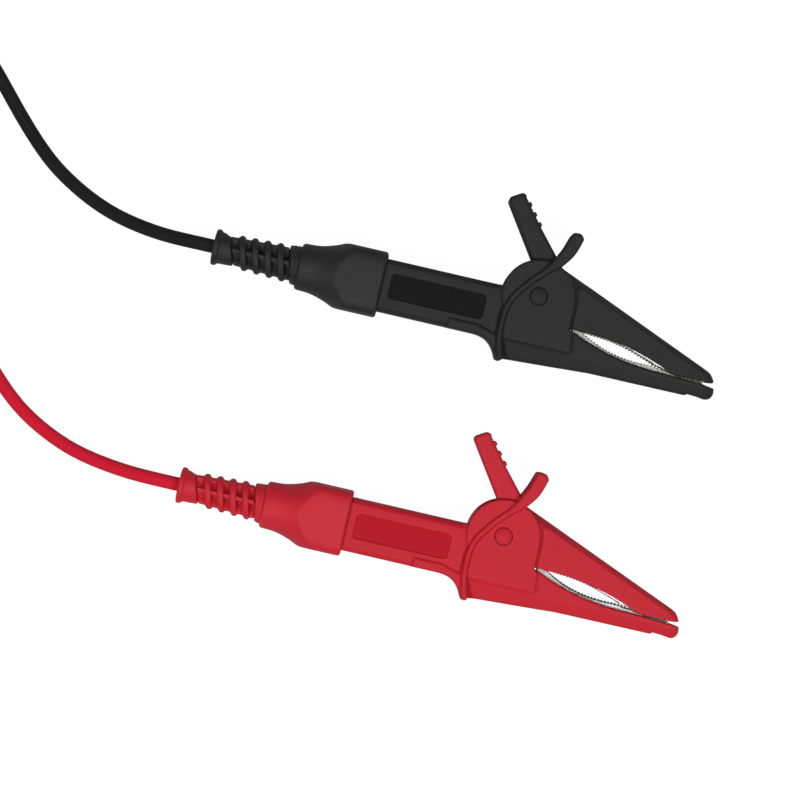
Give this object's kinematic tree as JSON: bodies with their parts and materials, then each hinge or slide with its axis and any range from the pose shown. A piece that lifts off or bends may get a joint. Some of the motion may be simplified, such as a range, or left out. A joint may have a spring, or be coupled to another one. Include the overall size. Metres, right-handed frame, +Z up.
{
  "type": "alligator clip lead",
  "caption": "Black and red test leads, each an insulated alligator clip with sprung steel-lined jaws, guard rib, boot and cord ending in a shrouded plug.",
  "frame": {"origin": "under the middle of the two clips' box, cords and plugs left out, on the surface they lie on", "axes": "+X along the barrels toward the jaw tips, +Y across the pair toward the black clip's lever, +Z up"},
  "size_m": [0.356, 0.1476, 0.0186],
  "materials": {
    "black_shell": "fine matte moulding texture",
    "black_boot": "soft satin elastomer",
    "black_cord": "smooth silicone jacket",
    "red_shell": "fine matte moulding texture",
    "red_boot": "soft satin elastomer",
    "red_cord": "smooth silicone jacket",
    "nickel_steel": "nickel-plated stamped steel",
    "spring_steel": "drawn spring wire",
    "tinned_brass": "tinned crimp barrel",
    "copper": "bare fine-stranded copper",
    "tie": "flat wrap tie",
    "plug_metal": "nickel-plated brass"
  },
  "bodies": {
    "black_clip": {"black_housing_near": "black_shell", "black_housing_far": "black_shell", "black_lower_jaw_liner": "nickel_steel", "black_pivot_pin": "nickel_steel", "black_pivot_cap_near": "black_shell", "black_pivot_cap_far": "black_shell", "black_torsion_spring": "spring_steel", "black_crimp_ferrule": "tinned_brass", "black_conductor": "copper", "black_lead_in": "black_cord", "black_boot": "black_boot", "black_bend_relief": "black_boot", "black_cord": "black_cord", "black_cord_coil": "black_cord", "black_coil_tie": "tie", "black_cord_tail": "black_cord", "black_plug_relief": "black_boot", "black_plug_lead_in": "black_cord", "black_plug_body": "black_shell", "black_plug_shroud": "black_shell", "black_plug_pin": "plug_metal", "black_plug_spring_cage": "plug_metal"},
    "black_rocker": {"black_jaw_lever": "black_shell", "black_upper_jaw_liner": "nickel_steel"},
    "red_clip": {"red_housing_near": "red_shell", "red_housing_far": "red_shell", "red_lower_jaw_liner": "nickel_steel", "red_pivot_pin": "nickel_steel", "red_pivot_cap_near": "red_shell", "red_pivot_cap_far": "red_shell", "red_torsion_spring": "spring_steel", "red_crimp_ferrule": "tinned_brass", "red_conductor": "copper", "red_lead_in": "red_cord", "red_boot": "red_boot", "red_bend_relief": "red_boot", "red_cord": "red_cord", "red_cord_coil": "red_cord", "red_coil_tie": "tie", "red_cord_tail": "red_cord", "red_plug_relief": "red_boot", "red_plug_lead_in": "red_cord", "red_plug_body": "red_shell", "red_plug_shroud": "red_shell", "red_plug_pin": "plug_metal", "red_plug_spring_cage": "plug_metal"},
    "red_rocker": {"red_jaw_lever": "red_shell", "red_upper_jaw_liner": "nickel_steel"}
  },
  "joints": [
    {"name": "black_jaw_hinge", "type": "hinge", "parent": "black_clip", "child": "black_rocker", "pos_m": [0.0172, 0.03198, 0.0093], "axis": [0, 0, 1], "range_deg": [0, 28], "stiffness_Nm_per_rad": 0.25, "springref_deg": -40.11, "deforming": ["black_torsion_spring"]},
    {"name": "red_jaw_hinge", "type": "hinge", "parent": "red_clip", "child": "red_rocker", "pos_m": [0.0231, -0.03993, 0.0093], "axis": [0, 0, 1], "range_deg": [0, 28], "stiffness_Nm_per_rad": 0.25, "springref_deg": -40.11, "deforming": ["red_torsion_spring"]},
    {"name": "red_lead_lift", "type": "slide", "parent": "black_clip", "child": "red_clip", "axis": [0, 0, 1], "range_m": [0, 0.05]}
  ]
}
